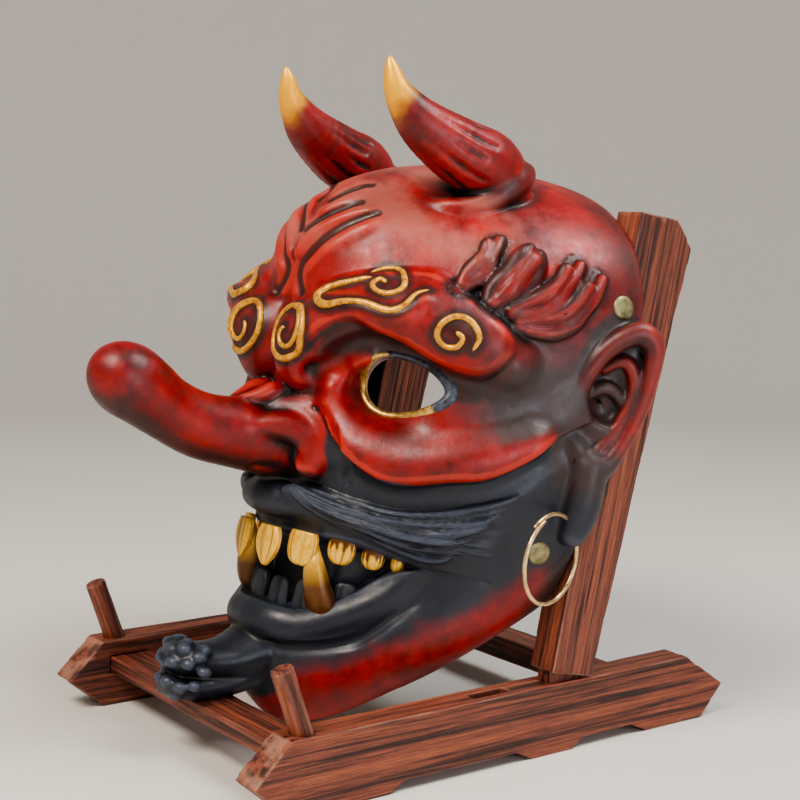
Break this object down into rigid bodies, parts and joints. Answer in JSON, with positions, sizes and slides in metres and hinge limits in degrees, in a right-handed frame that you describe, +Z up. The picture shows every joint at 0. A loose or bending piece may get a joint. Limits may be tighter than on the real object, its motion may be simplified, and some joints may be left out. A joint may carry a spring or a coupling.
{
  "type": "long-nosed tengu mask on a wooden display stand",
  "caption": "Hollow horned goblin mask with a long upturned nose, bared teeth, curled beard and ring earrings, leaning face up on an open wooden stand with raked posts.",
  "frame": {"origin": "under the middle of the whole object's bounding box, on the surface that the rails stand on", "axes": "+Z up; the face and the long nose point along -Y; +X is the mask's own left side"},
  "size_m": [0.2678, 0.3276, 0.3459],
  "materials": {
    "painted_resin": "satin crimson paint over cast resin, dark wash in the hollows, blue-black lower face, gold teeth and horn tips",
    "strap_brass": "dull brushed brass cap",
    "earring_brass": "polished wire",
    "stand_wood": "oiled dark hardwood with straight light and dark stripes"
  },
  "bodies": {
    "root": {"mask": "painted_resin", "strap_cap_upper_left": "strap_brass", "strap_cap_lower_left": "strap_brass", "strap_cap_upper_right": "strap_brass", "strap_cap_lower_right": "strap_brass", "earring_left": "earring_brass", "earring_right": "earring_brass", "rail_left": "stand_wood", "rail_right": "stand_wood", "post_left": "stand_wood", "post_right": "stand_wood", "peg_left": "stand_wood", "peg_right": "stand_wood", "slat_front": "stand_wood", "slat_rear": "stand_wood"}
  },
  "joints": []
}
